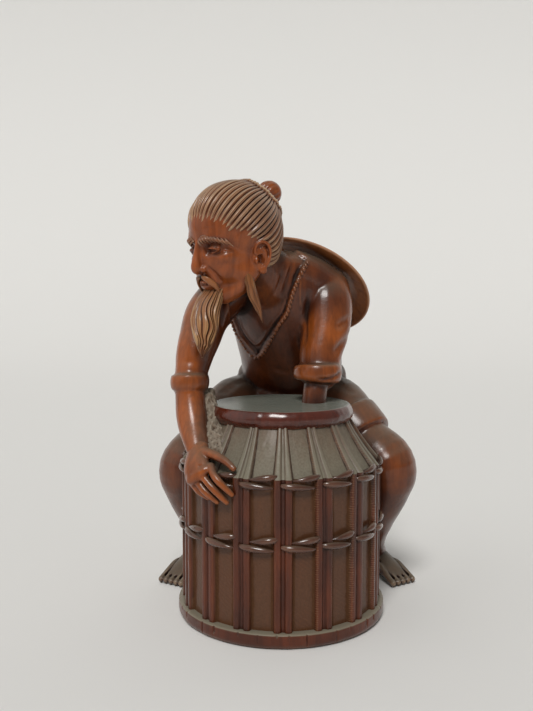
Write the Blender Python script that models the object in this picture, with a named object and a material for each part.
"""Carved boxwood fisherman bending over his fish basket, cut from one block.

Metres, +Z up. The origin is the centre of the basket's foot, and the basket's
front faces -Y. The man's own left is +X.
"""

import math

import bmesh
import bpy
import numpy as np
from mathutils import Matrix, Vector

MM = 0.001

# Basket: a foot ring, a straight wall, a sloping shoulder and a round lid.
FOOT_RADIUS = 21.2 * MM
FOOT_HEIGHT = 2.9 * MM
WALL_RADIUS = 19.4 * MM
WALL_HEIGHT = 31.4 * MM
SHOULDER_HEIGHT = 8.1 * MM
NECK_RADIUS = 13.9 * MM
LID_RADIUS = 14.7 * MM
LID_THICKNESS = 3.4 * MM
LID_DISH = 0.25 * MM
SHOULDER_HOLLOW = 0.56
ROUND_SIDES = 64
EDGE_ROUND = 0.55 * MM

# Stakes: pairs of ribs that run up the wall and the shoulder.
STAKE_PAIRS = 16
STAKE_WIDTH = 1.45 * MM
STAKE_PROUD = 0.95 * MM
STAKE_GAP = 0.65 * MM
STAKE_CHAMFER = 0.24 * MM
STAKE_GROOVE = 0.5

# Twined weft: two rows of spindle-shaped strands in each band.
WEFT_LEVELS = (30.8 * MM, 19.3 * MM)
WEFT_THICKNESS = 1.5 * MM
WEFT_RISE = 0.72 * MM
WEFT_SLOPE = 0.45 * MM
WEFT_SIDES = 4

# Head, measured along its own axes: forward, towards his left, and up.
HEAD_CENTRE = (-9.8 * MM, -1.2 * MM, 75.6 * MM)
HEAD_TURN = math.radians(50)
HEAD_BOW = math.radians(15)
SKULL_LENGTH = 19.8 * MM
SKULL_WIDTH = 15.8 * MM
SKULL_HEIGHT = 17.8 * MM
HAIR_THICKNESS = 0.7 * MM
HAIR_LOCKS = 27
HAIR_GROOVE = 0.42 * MM
KNOT_RADIUS = 2.7 * MM

# Straw hat that hangs on his back.
HAT_CENTRE = (5.2 * MM, 21.1 * MM, 66.8 * MM)
HAT_TURN = math.radians(29)
HAT_TILT = math.radians(48)
HAT_RADIUS = 16.0 * MM
HAT_RISE = 6.0 * MM
HAT_WALL = 1.1 * MM
HAT_SEAT_SHARE = 0.35
HAT_SEAT_RISE = 0.76

# Limbs
ARM_RADIUS = 5.3 * MM
FOREARM_RADIUS = 3.1 * MM
CUFF_RADIUS = 4.9 * MM
FINGER_RADIUS = 0.85 * MM
LEG_MIDDLE = 1.6
THIGH_RADIUS = 7.4 * MM
CALF_RADIUS = 5.6 * MM
TOE_RADIUS = 0.85 * MM
SOLE_CUT = 0.3 * MM

# Fineness of the carved surface.
CARVING_STEP = 0.42 * MM
FINE_STEP = 0.3 * MM
BODY_TRIANGLES = 1800
HEAD_TRIANGLES = 980
HAND_TRIANGLES = 360
FOOT_TRIANGLES = 170
FLAT_ANGLE = math.radians(1.5)
ROLL_SIDES = 10

SHOULDER_TOP = WALL_HEIGHT + SHOULDER_HEIGHT
LID_TOP = SHOULDER_TOP + LID_THICKNESS
BOXWOOD = (0.32, 0.105, 0.04, 1.0)


def at(x, y, z):
    """A point given in millimetres."""
    return Vector((x, y, z)) * MM


def clear_scene():
    for obj in list(bpy.data.objects):
        bpy.data.objects.remove(obj)


def boxwood():
    material = bpy.data.materials.new("polished_boxwood")
    material.use_nodes = True
    shader = material.node_tree.nodes["Principled BSDF"]
    shader.inputs["Base Color"].default_value = BOXWOOD
    shader.inputs["Roughness"].default_value = 0.3
    shader.inputs["Metallic"].default_value = 0.0
    return material


def new_object(name, points, faces):
    mesh = bpy.data.meshes.new(name)
    mesh.from_pydata([tuple(p) for p in points], [], faces)
    mesh.update()
    obj = bpy.data.objects.new(name, mesh)
    bpy.context.collection.objects.link(obj)
    return obj


def lofted(name, rings):
    """A closed solid through rings of the same number of points, capped at both ends."""
    sides = len(rings[0])
    points = [p for ring in rings for p in ring]
    faces = []
    for i in range(len(rings) - 1):
        for j in range(sides):
            k = (j + 1) % sides
            low, high = i * sides, (i + 1) * sides
            faces.append((low + j, low + k, high + k, high + j))
    for ring, first in ((rings[0], 0), (rings[-1], (len(rings) - 1) * sides)):
        centre = sum((Vector(p) for p in ring), Vector()) / sides
        points.append(centre)
        for j in range(sides):
            k = (j + 1) % sides
            corners = (first + j, first + k) if first else (first + k, first + j)
            faces.append(corners + (len(points) - 1,))
    obj = new_object(name, points, faces)
    face_outwards(obj)
    return obj


def face_outwards(obj):
    shape = bmesh.new()
    shape.from_mesh(obj.data)
    bmesh.ops.remove_doubles(shape, verts=shape.verts, dist=1e-7)
    bmesh.ops.recalc_face_normals(shape, faces=shape.faces)
    if shape.calc_volume(signed=True) < 0:
        bmesh.ops.reverse_faces(shape, faces=shape.faces)
    shape.to_mesh(obj.data)
    shape.free()


def smooth_path(stations, steps):
    """Catmull-Rom points through the stations; each station is (point, half width, half depth)."""
    rows = [(*point, wide, deep) for point, wide, deep in stations]
    rows = np.array(rows, float)
    rows = np.vstack([2 * rows[0] - rows[1], rows, 2 * rows[-1] - rows[-2]])
    found = []
    for i in range(1, len(rows) - 2):
        a, b, c, d = rows[i - 1 : i + 3]
        for t in np.linspace(0, 1, steps, endpoint=False):
            found.append(
                0.5 * (2 * b + (c - a) * t + (2 * a - 5 * b + 4 * c - d) * t**2
                       + (3 * b - a - 3 * c + d) * t**3)
            )
    found.append(rows[-2])
    return np.array(found)


def limb(name, stations, side=(1, 0, 0), sides=14, steps=3, flat=""):
    """A solid along a smooth path, with an elliptical section that is wide along side.

    Its ends are round, except those named in flat: start, end."""
    rows = smooth_path(stations, steps)
    spine, wide, deep = rows[:, :3], np.abs(rows[:, 3]), np.abs(rows[:, 4])
    along = np.gradient(spine, axis=0)
    along /= np.linalg.norm(along, axis=1)[:, None]
    turn = np.linspace(0, 2 * math.pi, sides, endpoint=False)
    rings = []

    def ring(i, push, scale):
        axis_a = np.array(side, float) - along[i] * np.dot(side, along[i])
        axis_a /= np.linalg.norm(axis_a)
        axis_b = np.cross(along[i], axis_a)
        centre = spine[i] + along[i] * push
        return [
            centre + scale * (wide[i] * math.cos(t) * axis_a + deep[i] * math.sin(t) * axis_b)
            for t in turn
        ]

    last = len(spine) - 1
    if "start" not in flat:
        for t in (0.15, 0.55, 0.85):
            rings.append(ring(0, -min(wide[0], deep[0]) * math.sqrt(1 - t * t), t))
    rings += [ring(i, 0, 1) for i in range(last + 1)]
    if "end" not in flat:
        for t in (0.85, 0.55, 0.15):
            rings.append(ring(last, min(wide[last], deep[last]) * math.sqrt(1 - t * t), t))
    return lofted(name, rings)


def ball(name, centre, radii, axes=None, rings=10):
    """An ellipsoid; axes are its three directions, the row axes if none are given."""
    shape = bmesh.new()
    bmesh.ops.create_uvsphere(shape, u_segments=2 * rings, v_segments=rings, radius=1)
    turn = Matrix(axes).transposed() if axes else Matrix.Identity(3)
    place = Matrix.Translation(centre) @ turn.to_4x4() @ Matrix.Diagonal((*radii, 1))
    bmesh.ops.transform(shape, matrix=place, verts=shape.verts)
    mesh = bpy.data.meshes.new(name)
    shape.to_mesh(mesh)
    shape.free()
    obj = bpy.data.objects.new(name, mesh)
    bpy.context.collection.objects.link(obj)
    return obj


def roll(name, centre, axis, radius, thickness, depth=None, side=(1, 0, 0), sides=24):
    """A rolled edge: a ring of round section about axis, with another radius, depth, across side."""
    around = Vector(axis).normalized()
    first = (Vector(side) - around * around.dot(Vector(side))).normalized()
    second = around.cross(first)
    points, faces = [], []
    for i in range(sides):
        t = 2 * math.pi * i / sides
        out = first * math.cos(t) + second * math.sin(t)
        middle = Vector(centre) + first * math.cos(t) * radius + second * math.sin(t) * (depth or radius)
        for j in range(ROLL_SIDES):
            s = 2 * math.pi * j / ROLL_SIDES
            points.append(middle + (out * math.cos(s) + around * math.sin(s)) * thickness)
            a, b = i * ROLL_SIDES, ((i + 1) % sides) * ROLL_SIDES
            k = (j + 1) % ROLL_SIDES
            faces.append((a + j, a + k, b + k, b + j))
    obj = new_object(name, points, faces)
    face_outwards(obj)
    return obj


def bake(obj):
    """Replaces the object's mesh by what its modifiers make of it."""
    graph = bpy.context.evaluated_depsgraph_get()
    mesh = bpy.data.meshes.new_from_object(obj.evaluated_get(graph))
    obj.modifiers.clear()
    obj.data = mesh


def joined(name, parts):
    """One object that holds the meshes of all the parts, which still overlap."""
    shape = bmesh.new()
    for part in parts:
        shape.from_mesh(part.data)
        bpy.data.objects.remove(part)
    mesh = bpy.data.meshes.new(name)
    shape.to_mesh(mesh)
    shape.free()
    obj = bpy.data.objects.new(name, mesh)
    bpy.context.collection.objects.link(obj)
    return obj


def blended(name, parts, step, smoothing):
    """The parts run together into one skin, as the carver's knife leaves them."""
    obj = joined(name, parts)
    remesh = obj.modifiers.new("skin", "REMESH")
    remesh.mode = "VOXEL"
    remesh.voxel_size = step
    remesh.adaptivity = 0
    soften = obj.modifiers.new("soften", "SMOOTH")
    soften.factor = 0.5
    soften.iterations = smoothing
    bake(obj)
    return obj


def stroke(obj, path, width, height, steps=6):
    """A carved line along path: a ridge where height is positive, a groove where it is negative.

    It fades out at its ends and at width on either side."""
    mesh = obj.data
    points = np.empty(len(mesh.vertices) * 3)
    mesh.vertices.foreach_get("co", points)
    points = points.reshape(-1, 3)
    normals = np.empty(len(mesh.vertices) * 3)
    mesh.vertices.foreach_get("normal", normals)
    normals = normals.reshape(-1, 3)
    line = smooth_path([(p, 0, 0) for p in path], steps)[:, :3] if len(path) > 2 else np.array(path, float)
    near = np.where(
        ((points > line.min(0) - width) & (points < line.max(0) + width)).all(1)
    )[0]
    if not len(near):
        return
    best = np.full(len(near), 1e9)
    run = np.zeros(len(near))
    for i in range(len(line) - 1):
        a, b = line[i], line[i + 1]
        d = b - a
        t = np.clip(((points[near] - a) @ d) / (d @ d), 0, 1)
        away = np.linalg.norm(points[near] - (a + t[:, None] * d), axis=1)
        closer = away < best
        best[closer] = away[closer]
        run[closer] = (i + t[closer]) / (len(line) - 1)
    reach = np.clip(1 - (best / width) ** 2, 0, 1) ** 2
    fade = np.clip(np.minimum(run, 1 - run) / 0.2, 0.15, 1)
    points[near] += normals[near] * (height * reach * fade)[:, None]
    mesh.vertices.foreach_set("co", points.ravel())
    mesh.update()


def sink(obj, outline, depth, edge, behind):
    """Lowers the front of obj inside an outline of (x, z) points, as bare skin lies below the cloth.

    Only what faces the front and lies before y = behind is lowered, over a slope as wide as edge."""
    mesh = obj.data
    points = np.empty(len(mesh.vertices) * 3)
    mesh.vertices.foreach_get("co", points)
    points = points.reshape(-1, 3)
    normals = np.empty(len(mesh.vertices) * 3)
    mesh.vertices.foreach_get("normal", normals)
    normals = normals.reshape(-1, 3)
    flat = points[:, [0, 2]]
    inside = np.zeros(len(flat), bool)
    away = np.full(len(flat), 1e9)
    for a, b in zip(outline, outline[1:] + outline[:1]):
        a, b = np.array(a, float), np.array(b, float)
        d = b - a
        t = np.clip(((flat - a) @ d) / (d @ d), 0, 1)
        away = np.minimum(away, np.linalg.norm(flat - (a + t[:, None] * d), axis=1))
        crosses = (a[1] > flat[:, 1]) != (b[1] > flat[:, 1])
        at_x = a[0] + (flat[:, 1] - a[1]) * d[0] / (d[1] if d[1] else 1e-12)
        inside ^= crosses & (flat[:, 0] < at_x)
    front = inside & (points[:, 1] < behind) & (normals[:, 1] < 0.35)
    points[front] -= normals[front] * (depth * np.clip(away[front] / edge, 0, 1))[:, None]
    mesh.vertices.foreach_set("co", points.ravel())
    mesh.update()


# The basket.

def wall_ring(z, panel, proud, share):
    """Points round the wall at height z, stepping out over each pair of stakes.

    share is the stakes' width here, as a share of their width on the straight wall."""
    ring = []
    outer = panel + proud
    half_gap = STAKE_GAP * share / 2
    far = half_gap + STAKE_WIDTH * share
    chamfer = STAKE_CHAMFER * share
    valley = outer - STAKE_GROOVE * proud
    section = (
        (-far - chamfer, panel),
        (-far + chamfer, outer),
        (-half_gap - chamfer, outer),
        (-half_gap + chamfer, valley),
        (half_gap - chamfer, valley),
        (half_gap + chamfer, outer),
        (far - chamfer, outer),
        (far + chamfer, panel),
    )
    for pair in range(STAKE_PAIRS):
        middle = 2 * math.pi * pair / STAKE_PAIRS - math.pi / 2
        for offset, radius in section:
            angle = middle + offset / panel
            ring.append((radius * math.cos(angle), radius * math.sin(angle), z))
    return ring


def turned(name, profile, sides):
    """A lathe form about Z from (radius, height) pairs."""
    rings = []
    for radius, z in profile:
        rings.append(
            [(radius * math.cos(t), radius * math.sin(t), z)
             for t in np.linspace(0, 2 * math.pi, sides, endpoint=False)]
        )
    return lofted(name, rings)


def panel_radius(z):
    """Radius of the panels between the stakes at height z, on the wall or the shoulder."""
    middle = WALL_RADIUS - SHOULDER_HOLLOW * (WALL_RADIUS - NECK_RADIUS)
    heights = (WALL_HEIGHT, WALL_HEIGHT + SHOULDER_HEIGHT / 2, SHOULDER_TOP)
    return float(np.interp(z, heights, (WALL_RADIUS, middle, NECK_RADIUS)))


def basket_wall():
    """The ribbed wall and shoulder."""
    half_way = WALL_HEIGHT + SHOULDER_HEIGHT / 2
    rings = [
        wall_ring(FOOT_HEIGHT / 2, WALL_RADIUS, STAKE_PROUD, 1),
        wall_ring(WALL_HEIGHT, WALL_RADIUS, STAKE_PROUD, 1),
        wall_ring(half_way, panel_radius(half_way), STAKE_PROUD * 0.8, 0.85),
        wall_ring(SHOULDER_TOP + LID_THICKNESS / 2, NECK_RADIUS, STAKE_PROUD * 0.6, 0.7),
    ]
    return lofted("basket_wall", rings)


def basket_foot():
    return turned(
        "basket_foot",
        [
            (FOOT_RADIUS - EDGE_ROUND, 0),
            (FOOT_RADIUS, EDGE_ROUND),
            (FOOT_RADIUS, FOOT_HEIGHT - EDGE_ROUND / 2),
            (FOOT_RADIUS - EDGE_ROUND / 2, FOOT_HEIGHT),
        ],
        ROUND_SIDES,
    )


def basket_lid():
    return turned(
        "basket_lid",
        [
            (LID_RADIUS - EDGE_ROUND, SHOULDER_TOP),
            (LID_RADIUS, SHOULDER_TOP + EDGE_ROUND),
            (LID_RADIUS, LID_TOP - EDGE_ROUND),
            (LID_RADIUS - EDGE_ROUND, LID_TOP),
            (LID_RADIUS - 2 * EDGE_ROUND, LID_TOP - LID_DISH),
        ],
        ROUND_SIDES,
    )


def weft_strand(row, pair, level, upper):
    """One spindle of the twined weft, lying over a pair of stakes."""
    pitch = 2 * math.pi / STAKE_PAIRS
    start, end = (0.16, 1.14) if upper else (-0.12, 0.82)
    height = level + (WEFT_RISE if upper else -WEFT_RISE)
    lie = panel_radius(height) + STAKE_PROUD + 0.1 * WEFT_THICKNESS
    rings = []
    for along, girth in ((0, 0.1), (0.25, 0.44), (0.6, 0.5), (1, 0.1)):
        angle = (pair + start + (end - start) * along) * pitch - math.pi / 2
        out = Vector((math.cos(angle), math.sin(angle), 0))
        centre = out * lie + Vector((0, 0, height + WEFT_SLOPE * (0.5 - along)))
        reach = girth * WEFT_THICKNESS
        rings.append(
            [
                centre + out * reach * math.cos(s) + Vector((0, 0, reach * math.sin(s)))
                for s in np.linspace(0, 2 * math.pi, WEFT_SIDES, endpoint=False)
            ]
        )
    return lofted(f"weft_{row}_{pair}_{upper}", rings)


def weft():
    strands = []
    for row, level in enumerate(WEFT_LEVELS):
        for pair in range(STAKE_PAIRS):
            for upper in (False, True):
                strands.append(weft_strand(row, pair, level, upper))
    return strands


def on_wall(angle_deg, z, lift):
    """A point over the basket's outside, at an angle from its front, lifted off the surface."""
    radius = WALL_RADIUS + STAKE_PROUD
    if z > WALL_HEIGHT:
        share = min(1, (z - WALL_HEIGHT) / SHOULDER_HEIGHT)
        radius += (NECK_RADIUS - WALL_RADIUS) * share
    angle = math.radians(angle_deg) - math.pi / 2
    return Vector(((radius + lift) * math.cos(angle), (radius + lift) * math.sin(angle), z))


# The head.

def head_axes():
    forward = Vector(
        (
            -math.sin(HEAD_TURN) * math.cos(HEAD_BOW),
            -math.cos(HEAD_TURN) * math.cos(HEAD_BOW),
            -math.sin(HEAD_BOW),
        )
    )
    left = Vector((math.cos(HEAD_TURN), -math.sin(HEAD_TURN), 0))
    return forward, left, forward.cross(left)


def in_head(forward_mm, left_mm, up_mm):
    """A point given in millimetres along the head's own axes."""
    forward, left, up = head_axes()
    return Vector(HEAD_CENTRE) + (forward * forward_mm + left * left_mm + up * up_mm) * MM


SKULL_MIDDLE = (-1.2, 0.0, 2.5)


def head_parts():
    axes = head_axes()
    half = (SKULL_LENGTH / 2, SKULL_WIDTH / 2, SKULL_HEIGHT / 2)
    parts = [
        ball("cranium", in_head(*SKULL_MIDDLE), half, axes, 14),
        ball("face", in_head(2.3, 0, -2.6), (6.9 * MM, 6.3 * MM, 8.0 * MM), axes, 12),
        ball("chin", in_head(6.0, 0, -9.0), (2.7 * MM, 3.0 * MM, 2.5 * MM), axes),
        limb("nose", [(in_head(8.5, 0, 1.4), 0.8 * MM, 0.9 * MM), (in_head(9.6, 0, -1.0), 0.9 * MM, 1.0 * MM),
                      (in_head(10.6, 0, -3.3), 1.25 * MM, 1.25 * MM)], axes[1]),
        ball("upper_lip", in_head(8.6, 0, -5.9), (1.0 * MM, 2.2 * MM, 0.8 * MM), axes),
        ball("lower_lip", in_head(8.2, 0, -7.3), (1.0 * MM, 1.8 * MM, 0.8 * MM), axes),
    ]
    for side in (-1, 1):
        parts += [
            ball("nostril", in_head(9.4, 1.25 * side, -3.7), (1.0 * MM, 0.9 * MM, 0.8 * MM), axes),
            ball("cheek", in_head(5.6, 4.2 * side, -2.9), (2.6 * MM, 2.3 * MM, 2.0 * MM), axes),
            ball("eye", in_head(6.9, 3.1 * side, 0.1), (1.5 * MM, 1.6 * MM, 1.2 * MM), axes),
            limb("jaw", [(in_head(-0.6, 6.0 * side, -5.0), 1.8 * MM, 1.8 * MM),
                         (in_head(3.0, 4.6 * side, -8.6), 1.9 * MM, 1.9 * MM),
                         (in_head(6.0, 1.8 * side, -9.8), 2.0 * MM, 2.0 * MM)], axes[1]),
            limb("brow", [(in_head(8.3, 0.9 * side, 1.9), 0.9 * MM, 0.8 * MM),
                          (in_head(7.7, 3.2 * side, 2.8), 1.1 * MM, 1.0 * MM),
                          (in_head(5.6, 5.4 * side, 1.7), 0.8 * MM, 0.8 * MM)], axes[1]),
            ball("ear", in_head(-0.4, 7.6 * side, -2.9), (2.1 * MM, 1.0 * MM, 3.3 * MM), axes),
            limb("whisker", [(in_head(1.4, 6.2 * side, -6.2), 1.3 * MM, 1.1 * MM),
                             (in_head(1.6, 6.3 * side, -9.4), 1.0 * MM, 0.9 * MM),
                             (in_head(0.4, 6.6 * side, -13.4), 0.4 * MM, 0.4 * MM)], axes[1], sides=10),
        ]
    return parts


def carve_face(obj):
    """Eye sockets, lids, mouth, laughter-free cheeks and the bowl of each ear."""
    for side in (-1, 1):
        stroke(obj, [in_head(8.4, 1.8 * side, 0.4), in_head(7.6, 3.2 * side, 1.2), in_head(6.0, 5.0 * side, 0.4)],
               1.0 * MM, -0.5 * MM)
        stroke(obj, [in_head(8.3, 1.7 * side, -0.9), in_head(7.8, 3.2 * side, -1.5), in_head(6.2, 4.9 * side, -0.9)],
               0.8 * MM, -0.35 * MM)
        stroke(obj, [in_head(0.2, 8.6 * side, -1.6), in_head(-0.5, 8.7 * side, -3.1), in_head(0.2, 8.5 * side, -4.4)],
               1.1 * MM, -0.8 * MM)
        stroke(obj, [in_head(9.4, 1.9 * side, -3.4), in_head(8.4, 3.0 * side, -5.2), in_head(7.4, 3.6 * side, -7.4)],
               0.7 * MM, -0.3 * MM)
    stroke(obj, [in_head(8.6, -1.9, -6.8), in_head(9.6, 0, -6.5), in_head(8.6, 1.9, -6.8)], 0.6 * MM, -0.6 * MM)


HAIRLINE = ((0, 134), (40, 131), (68, 121), (91, 107), (132, 96), (180, 80))
KNOT_PITCH = math.radians(25)


def hair():
    """The combed-back hair: locks that run from the hairline to a band below the topknot."""
    forward, left, up = head_axes()
    pole = -math.cos(KNOT_PITCH) * forward + math.sin(KNOT_PITCH) * up
    crown = math.sin(KNOT_PITCH) * forward + math.cos(KNOT_PITCH) * up
    middle = in_head(*SKULL_MIDDLE)
    half = [s / 2 for s in (SKULL_LENGTH, SKULL_WIDTH, SKULL_HEIGHT)]
    around = HAIR_LOCKS * 2
    turns, fars = zip(*HAIRLINE)
    rings = []
    for share, lift, depth in (
        (0.06, 1.0, 0), (0.25, 1.1, 0), (0.285, 1.5, 0), (0.32, 0.9, 1),
        (0.5, 1.0, 1), (0.7, 1.0, 1), (0.88, 0.75, 0.9), (1.0, -0.25, 0.6),
    ):
        ring = []
        for i in range(around):
            turn = 2 * math.pi * i / around
            far = np.interp(math.degrees(min(turn, 2 * math.pi - turn)), turns, fars)
            ragged = 4 * math.sin(2.4 * i) if share > 0.6 else 0
            polar = math.radians(far + ragged) * share
            aim = pole * math.cos(polar) + (crown * math.cos(turn) + left * math.sin(turn)) * math.sin(polar)
            local = (aim.dot(forward), aim.dot(left), aim.dot(up))
            size = 1 / math.sqrt(sum((c / h) ** 2 for c, h in zip(local, half)))
            size += lift * HAIR_THICKNESS - (depth * HAIR_GROOVE if i % 2 else 0)
            ring.append(middle + aim * size)
        rings.append(ring)
    rings.append([middle + (p - middle) * 0.7 for p in rings[-1]])
    return lofted("hair", rings)


def knot():
    forward, left, up = head_axes()
    pole = -math.cos(KNOT_PITCH) * forward + math.sin(KNOT_PITCH) * up
    middle = in_head(*SKULL_MIDDLE)
    reach = SKULL_LENGTH / 2 + HAIR_THICKNESS
    return [
        ball("knot", middle + pole * (reach + 0.45 * KNOT_RADIUS),
             (KNOT_RADIUS, KNOT_RADIUS, KNOT_RADIUS), None, 8),
    ]


def beard():
    """The long tuft on the chin, in wavy locks."""
    forward, side, _ = head_axes()
    rows = smooth_path(
        [
            (in_head(6.2, 0, -7.4), 2.6 * MM, 2.2 * MM),
            (at(-14.1, -5.7, 64.4), 3.1 * MM, 2.9 * MM),
            (at(-14.9, -7.4, 61.2), 3.2 * MM, 2.9 * MM),
            (at(-14.9, -8.5, 58.0), 3.0 * MM, 2.5 * MM),
            (at(-14.9, -9.0, 55.2), 2.1 * MM, 1.7 * MM),
            (at(-15.4, -9.2, 52.6), 0.3 * MM, 0.3 * MM),
        ],
        2,
    )
    sides = 14
    rings = []
    for n, (x, y, z, wide, deep) in enumerate(rows):
        ring = []
        for j in range(sides):
            t = 2 * math.pi * j / sides + 0.22 * math.sin(n * 0.9)
            girth = 1 if j % 2 else 0.83
            ring.append(Vector((x, y, z)) + side * wide * girth * math.cos(t) + forward * deep * girth * math.sin(t))
        rings.append(ring)
    return lofted("beard", rings)


# The body.

def torso_parts():
    return [
        limb("trousers", [
            (at(3, 30, 28), 9.0 * MM, 7.5 * MM),
            (at(3, 29, 34), 12.0 * MM, 9.6 * MM),
            (at(3, 26.5, 40), 11.8 * MM, 9.3 * MM),
            (at(3, 24, 45), 11.2 * MM, 8.6 * MM),
        ], (1, 0, 0), sides=20),
        limb("vest", [
            (at(3, 26.4, 40.2), 14.0 * MM, 11.6 * MM),
            (at(3, 23.9, 45.6), 11.9 * MM, 9.6 * MM),
            (at(2.5, 19.5, 52), 11.6 * MM, 9.0 * MM),
            (at(1.2, 15.5, 58.5), 11.6 * MM, 8.8 * MM),
            (at(-0.5, 11.5, 65), 11.5 * MM, 7.6 * MM),
            (at(-2.5, 7.8, 69.8), 6.8 * MM, 5.6 * MM),
        ], (1, -0.15, 0.1), sides=20, flat="start"),
        roll("sash", at(3, 23.6, 46.3), (0, -0.5, 0.87), 11.7 * MM, 1.15 * MM, 9.5 * MM),
        limb("neck", [
            (at(-2, 8, 66), 5.4 * MM, 5.0 * MM),
            (at(-5, 4, 70.5), 5.0 * MM, 4.8 * MM),
            (at(-8, 1, 74), 5.0 * MM, 4.8 * MM),
        ]),
        limb("yoke", [
            (at(-2, 8, 70.2), 5.0 * MM, 5.0 * MM),
            (at(3.2, 9.2, 69.5), 4.9 * MM, 4.9 * MM),
            (at(6.4, 10.4, 68.2), 5.0 * MM, 5.0 * MM),
            (at(9.8, 11.8, 65.8), ARM_RADIUS, ARM_RADIUS),
        ], (0, 1, 0)),
        ball("seat", at(3, 31.2, 33.6), (13.6 * MM, 8.4 * MM, 8.2 * MM), rings=14),
    ]


def arm_parts():
    lid_forearm = Vector((6.6 * MM, 1.0 * MM, LID_TOP - 1.5 * MM))
    wrist = on_wall(-55, 35.2 * MM, 1.8 * MM)
    return [
        limb("left_sleeve", [
            (at(9.8, 11.8, 65.9), ARM_RADIUS * 1.05, ARM_RADIUS * 1.05),
            (at(9.8, 9.6, 60), ARM_RADIUS * 1.04, ARM_RADIUS * 1.04),
            (at(8.4, 5.4, 53), ARM_RADIUS * 0.9, ARM_RADIUS * 0.9),
            (at(7.8, 3.2, 48.6), ARM_RADIUS * 0.8, ARM_RADIUS * 0.8),
        ]),
        limb("left_cuff", [
            (at(7.9, 3.6, 50.8), CUFF_RADIUS * 0.97, CUFF_RADIUS * 0.97),
            (at(7.7, 3.1, 48.6), CUFF_RADIUS * 1.02, CUFF_RADIUS * 1.02),
            (at(7.5, 2.7, 46.6), CUFF_RADIUS * 0.9, CUFF_RADIUS * 0.9),
        ], sides=18, flat="start end"),
        limb("left_forearm", [
            (at(7.6, 2.8, 48), 2.6 * MM, 2.6 * MM),
            (at(7.0, 1.6, 45), 2.5 * MM, 2.5 * MM),
            (lid_forearm, 2.5 * MM, 2.5 * MM),
        ]),
        limb("right_sleeve", [
            (at(-10.8, 7.6, 66), ARM_RADIUS, ARM_RADIUS),
            (at(-15.0, 3.2, 60.8), ARM_RADIUS * 0.9, ARM_RADIUS * 0.9),
            (at(-17.2, -0.5, 54), ARM_RADIUS * 0.76, ARM_RADIUS * 0.76),
            (at(-18.4, -3, 48.6), ARM_RADIUS * 0.62, ARM_RADIUS * 0.62),
        ]),
        limb("right_cuff", [
            (at(-18.3, -2.7, 50.2), CUFF_RADIUS * 0.74, CUFF_RADIUS * 0.74),
            (at(-18.5, -3.2, 48.2), CUFF_RADIUS * 0.78, CUFF_RADIUS * 0.78),
            (at(-18.6, -3.7, 46.4), CUFF_RADIUS * 0.7, CUFF_RADIUS * 0.7),
        ], sides=18, flat="start end"),
        limb("right_forearm", [
            (at(-18.5, -3.4, 47), FOREARM_RADIUS * 0.95, FOREARM_RADIUS * 0.95),
            (at(-17.7, -6, 40.5), FOREARM_RADIUS, FOREARM_RADIUS),
            (wrist, FOREARM_RADIUS * 0.75, FOREARM_RADIUS * 0.62),
        ]),
        limb("web", [
            (at(-16.0, -2.4, 44.6), 2.6 * MM, 1.7 * MM),
            (at(-14.6, -6.0, 39.6), 3.0 * MM, 1.7 * MM),
            (on_wall(-48, 35 * MM, -0.6 * MM), 2.6 * MM, 1.4 * MM),
        ]),
    ]


def hand_parts():
    """The right hand, spread over the basket's shoulder."""
    wrist = on_wall(-55, 35.2 * MM, 1.8 * MM)
    back = on_wall(-50, 33.0 * MM, 1.9 * MM)
    knuckles = on_wall(-45.5, 31.3 * MM, 1.8 * MM)
    parts = [
        limb("palm", [
            (wrist, 2.3 * MM, 1.9 * MM),
            (back, 2.9 * MM, 1.8 * MM),
            (knuckles, 2.9 * MM, 1.4 * MM),
        ], (0.75, -0.3, 0.6), sides=14),
    ]
    fingers = (
        ((-40, 33.0), (-33, 30.8), (-26.5, 28.4)),
        ((-43.5, 31.5), (-36.5, 29.3), (-29.5, 26.8)),
        ((-47.5, 30.4), (-41.5, 28.4), (-35.5, 26.6)),
        ((-51, 29.6), (-46, 28.2), (-41.5, 27.0)),
    )
    for n, (root, middle, tip) in enumerate(fingers):
        parts.append(limb(f"finger_{n}", [
            (on_wall(root[0], root[1] * MM, 1.6 * MM), FINGER_RADIUS * 1.15, FINGER_RADIUS * 1.1),
            (on_wall(middle[0], middle[1] * MM, 1.5 * MM), FINGER_RADIUS * 1.05, FINGER_RADIUS),
            (on_wall(tip[0], tip[1] * MM, 0.7 * MM), FINGER_RADIUS * 0.8, FINGER_RADIUS * 0.8),
        ], sides=10))
    parts.append(limb("thumb", [
        (on_wall(-48, 35.2 * MM, 2.0 * MM), FINGER_RADIUS * 1.5, FINGER_RADIUS * 1.4),
        (on_wall(-36, 34.6 * MM, 1.8 * MM), FINGER_RADIUS * 1.25, FINGER_RADIUS * 1.15),
        (on_wall(-26, 33.1 * MM, 1.2 * MM), FINGER_RADIUS, FINGER_RADIUS * 0.9),
    ], sides=10))
    return parts


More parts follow.
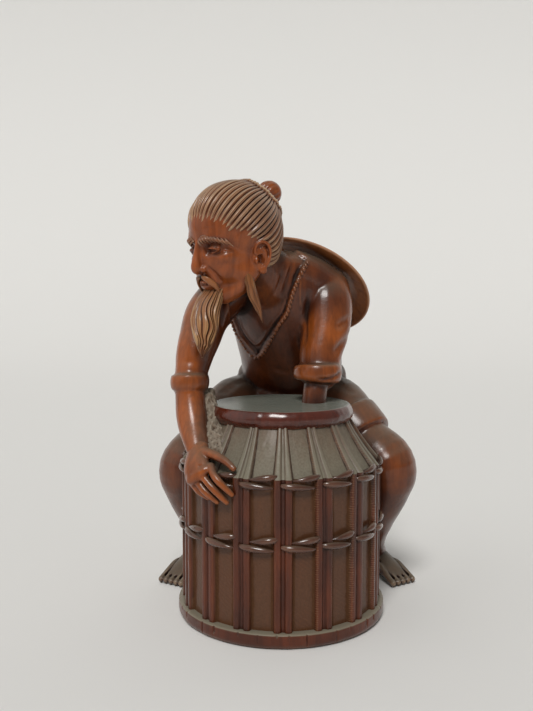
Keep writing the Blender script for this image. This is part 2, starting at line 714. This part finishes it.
def leg_parts(side):
    """Bent leg with the trouser rolled above the knee; side is 1 for his left and -1 for his right."""
    def place(x, y, z):
        return at(LEG_MIDDLE + side * x, y, z)

    parts = [
        limb("trouser_leg", [
            (place(4, 29, 36), THIGH_RADIUS, THIGH_RADIUS),
            (place(10.6, 21.5, 39.3), THIGH_RADIUS * 0.97, THIGH_RADIUS * 0.97),
            (place(14.8, 15.2, 35.8), THIGH_RADIUS * 0.89, THIGH_RADIUS * 0.89),
        ], sides=18, flat="end"),
        limb("trouser_cuff", [
            (place(13.6, 15.9, 36.9), THIGH_RADIUS * 0.95, THIGH_RADIUS * 0.95),
            (place(15.5, 14.2, 34.7), THIGH_RADIUS * 0.98, THIGH_RADIUS * 0.98),
            (place(17.1, 12.8, 32.6), THIGH_RADIUS * 0.92, THIGH_RADIUS * 0.92),
        ], sides=20, flat="start end"),
        limb("shin", [
            (place(15.6, 13.9, 33.6), CALF_RADIUS * 1.02, CALF_RADIUS * 1.02),
            (place(21.3, 8.5, 28.3), CALF_RADIUS * 1.13, CALF_RADIUS * 1.13),
            (place(21.4, 9.4, 23.0), CALF_RADIUS * 0.96, CALF_RADIUS * 0.96),
            (place(19.5, 13.0, 15.4), CALF_RADIUS * 0.79, CALF_RADIUS * 0.84),
            (place(19.8, 18.0, 8.2), CALF_RADIUS * 0.51, CALF_RADIUS * 0.56),
            (place(20.6, 20.0, 4), CALF_RADIUS * 0.52, CALF_RADIUS * 0.56),
        ], sides=14),
    ]
    return parts


def foot_parts(side):
    def place(x, y, z):
        return at(LEG_MIDDLE + side * x, y, z)

    parts = [
        limb("foot", [
            (place(18.9, 23.6, 2.5), 2.3 * MM, 2.4 * MM),
            (place(20.9, 20.4, 3.4), 2.7 * MM, 3.2 * MM),
            (place(23.4, 16.2, 2.6), 3.0 * MM, 2.4 * MM),
            (place(25.2, 13.2, 1.5), 3.2 * MM, 1.4 * MM),
        ], (0.85, 0.53 * side, 0), sides=14),
        ball("ankle_outside", place(22.9, 20.4, 5.2), (1.3 * MM, 1.3 * MM, 1.3 * MM)),
        ball("ankle_inside", place(18.6, 19.2, 5.6), (1.2 * MM, 1.2 * MM, 1.2 * MM)),
    ]
    for n in range(5):
        share = (n - 2) / 2
        parts.append(limb(f"toe_{n}", [
            (place(24.2 + 2.2 * share, 14.9 + 1.2 * share, 1.9), TOE_RADIUS, TOE_RADIUS),
            (place(26.0 + 2.3 * share, 12.0 + 1.5 * share, 0.9), TOE_RADIUS * 1.1, TOE_RADIUS),
        ], sides=8, steps=2))
    return parts


VEST_OPENING = (
    (5.7, 72.6), (3.7, 68.8), (2.3, 65.5), (1.1, 61.3), (-0.6, 58.7), (-5.0, 51.6),
    (-8.9, 55.8), (-10.3, 59.1), (-10.8, 64.0), (-9.0, 69.5), (-4.0, 74.0), (2.0, 75.5),
)


def carve_cloth(obj):
    """The vest's open neck with its raised edge, the armhole seams and the folds of the cloth."""
    sink(obj, [(x * MM, z * MM) for x, z in VEST_OPENING], 0.9 * MM, 0.5 * MM, 13 * MM)
    seams = (
        (at(5.4, 7.5, 71.5), at(4.3, 3.5, 66), at(4.0, 3.2, 60), at(4.6, 5.5, 54)),
        (at(-8.6, 3.0, 70.5), at(-10.9, 1.6, 65), at(-12.2, 3.5, 59), at(-11.3, 7.0, 54)),
        (at(5.6, 15, 73), at(5.2, 20, 68), at(6.0, 22, 61), at(8.5, 20, 55)),
        (at(-6.5, 14, 72), at(-9.5, 18, 66), at(-9.5, 21, 59), at(-9.8, 19, 54)),
    )
    for path in seams:
        stroke(obj, path, 0.9 * MM, -0.45 * MM)
    folds = (
        (at(13.5, 8.5, 56), at(12.2, 5.5, 53), at(10.8, 0.9, 51)),
        (at(14.2, 10.5, 61), at(12.6, 5.2, 58), at(9, 2.2, 55.8)),
        (at(-13, 6.5, 57), at(-15, 5.0, 53), at(-18, 1.2, 51)),
        (at(-10, 13, 49), at(-4, 11, 48.6), at(2, 10.6, 47.6)),
        (at(12, 15, 50), at(8, 12, 48.6), at(3, 11, 48.4)),
        (at(-8, 29, 52), at(-2, 31.5, 49.6), at(6, 31.8, 49)),
        (at(13, 27.5, 55), at(8, 31, 52.5), at(2, 31.8, 52.6)),
        (at(-8.6, 24, 60), at(-3, 28, 57), at(3, 28.6, 56)),
    )
    for path in folds:
        stroke(obj, path, 1.5 * MM, -0.55 * MM)
    for side in (1, -1):
        for start, middle, end in (
            ((4.5, 36.5, 41), (9, 32, 41.5), (13.5, 24, 42)),
            ((3, 38.5, 36), (9, 35.5, 36), (14.5, 27, 37)),
            ((2.5, 37.5, 31), (8, 35, 30.5), (14, 25.5, 32)),
            ((6, 28, 28.5), (11, 23.5, 30.5), (15, 18, 31)),
            ((8.5, 19, 45), (12, 16.5, 43.8), (14.5, 14, 42)),
        ):
            path = [at(LEG_MIDDLE + side * x, y, z) for x, y, z in (start, middle, end)]
            stroke(obj, path, 1.7 * MM, -0.7 * MM)


def hat_axis():
    return Vector(
        (
            math.sin(HAT_TURN) * math.cos(HAT_TILT),
            math.cos(HAT_TURN) * math.cos(HAT_TILT),
            math.sin(HAT_TILT),
        )
    )


def hat_seat():
    """The wood left standing between the hat's hollow and his back, which carries the hat."""
    radius = HAT_SEAT_SHARE * HAT_RADIUS
    hollow = Vector(HAT_CENTRE) + hat_axis() * (HAT_SEAT_RISE * HAT_RISE - HAT_WALL / 2)
    return limb("hat_seat", [
        (at(2.0, 14.0, 59.5), radius, radius),
        (hollow, radius, radius),
    ], flat="end")


def hat():
    """The woven straw hat: a shallow cone with a thin brim, open towards his back."""
    out = hat_axis()
    first = out.orthogonal().normalized()
    second = out.cross(first)
    sides = 36
    profile = (
        (0.06, 1.0), (HAT_SEAT_SHARE, HAT_SEAT_RISE), (0.94, 0.05), (1.0, -0.03), (0.98, -0.13),
        (0.93, -0.10), (HAT_SEAT_SHARE, HAT_SEAT_RISE - HAT_WALL / HAT_RISE), (0.06, 0.95 - HAT_WALL / HAT_RISE),
    )
    rings = []
    for share, rise in profile:
        rings.append(
            [
                Vector(HAT_CENTRE)
                + out * (rise * HAT_RISE)
                + (first * math.cos(t) + second * math.sin(t)) * (share * HAT_RADIUS)
                for t in np.linspace(0, 2 * math.pi, sides, endpoint=False)
            ]
        )
    return lofted("hat", rings)


def united(base, others):
    """The Boolean union of base and the others, as one solid."""
    group = bpy.data.collections.new("united_with_" + base.name)
    for obj in others:
        group.objects.link(obj)
    union = base.modifiers.new("union", "BOOLEAN")
    union.operation = "UNION"
    union.operand_type = "COLLECTION"
    union.collection = group
    union.solver = "EXACT"
    union.use_self = True
    bake(base)
    for obj in others:
        bpy.data.objects.remove(obj)
    bpy.data.collections.remove(group)
    return base


def filled(obj):
    """Closes the pockets that the pieces shut in between them, so that the block is solid inside."""
    shape = bmesh.new()
    shape.from_mesh(obj.data)
    waiting = set(shape.faces)
    while waiting:
        shell = {waiting.pop()}
        edge_of_shell = list(shell)
        while edge_of_shell:
            face = edge_of_shell.pop()
            for edge in face.edges:
                for other in edge.link_faces:
                    if other in waiting:
                        waiting.remove(other)
                        shell.add(other)
                        edge_of_shell.append(other)
        if shell_volume(shell) < 0:
            bmesh.ops.delete(shape, geom=list(shell), context="FACES")
    shape.to_mesh(obj.data)
    shape.free()


def shell_volume(shell):
    """Volume inside a closed set of faces, which is negative where they face inwards."""
    total = 0
    for face in shell:
        corners = [vertex.co for vertex in face.verts]
        for second, third in zip(corners[1:], corners[2:]):
            total += corners[0].dot(second.cross(third)) / 6
    return total


def cleared(obj):
    """Takes out the lines that the union leaves across flat faces."""
    flat = obj.modifiers.new("flat", "DECIMATE")
    flat.decimate_type = "DISSOLVE"
    flat.angle_limit = FLAT_ANGLE
    bake(obj)


def facets(obj, count):
    """Thins the surface to about count triangles, the finest where it bends the most."""
    now = sum(len(p.vertices) - 2 for p in obj.data.polygons)
    thin = obj.modifiers.new("facets", "DECIMATE")
    thin.ratio = min(1, count / now)
    bake(obj)


def stand_flat(obj):
    """Cuts the soles of the feet level with the basket's foot."""
    mesh = obj.data
    heights = np.empty(len(mesh.vertices) * 3)
    mesh.vertices.foreach_get("co", heights)
    heights = heights.reshape(-1, 3)
    heights[heights[:, 2] < SOLE_CUT, 2] = 0
    mesh.vertices.foreach_set("co", heights.ravel())
    mesh.update()


def man():
    """Body, head, hand and feet, each carved as finely as it needs."""
    body = blended(
        "body", torso_parts() + arm_parts() + leg_parts(1) + leg_parts(-1) + [hat_seat()], CARVING_STEP, 2
    )
    carve_cloth(body)
    head = blended("head", head_parts() + knot(), FINE_STEP, 3)
    carve_face(head)
    hand = blended("hand", hand_parts(), FINE_STEP, 2)
    feet = [blended("foot", foot_parts(side), FINE_STEP, 2) for side in (1, -1)]
    facets(body, BODY_TRIANGLES)
    facets(head, HEAD_TRIANGLES)
    facets(hand, HAND_TRIANGLES)
    for foot in feet:
        facets(foot, FOOT_TRIANGLES)
        stand_flat(foot)
    return [body, head, hand] + feet


def figurine():
    solid = united(basket_wall(), man() + [basket_foot(), basket_lid(), hair(), beard(), hat()] + weft())
    filled(solid)
    cleared(solid)
    solid.name = "fisherman_figurine"
    solid.data.name = solid.name
    face_outwards(solid)
    solid.data.materials.clear()
    solid.data.materials.append(boxwood())
    solid.data.shade_smooth()
    solid.data.set_sharp_from_angle(angle=math.radians(35))
    return solid


clear_scene()
figurine()
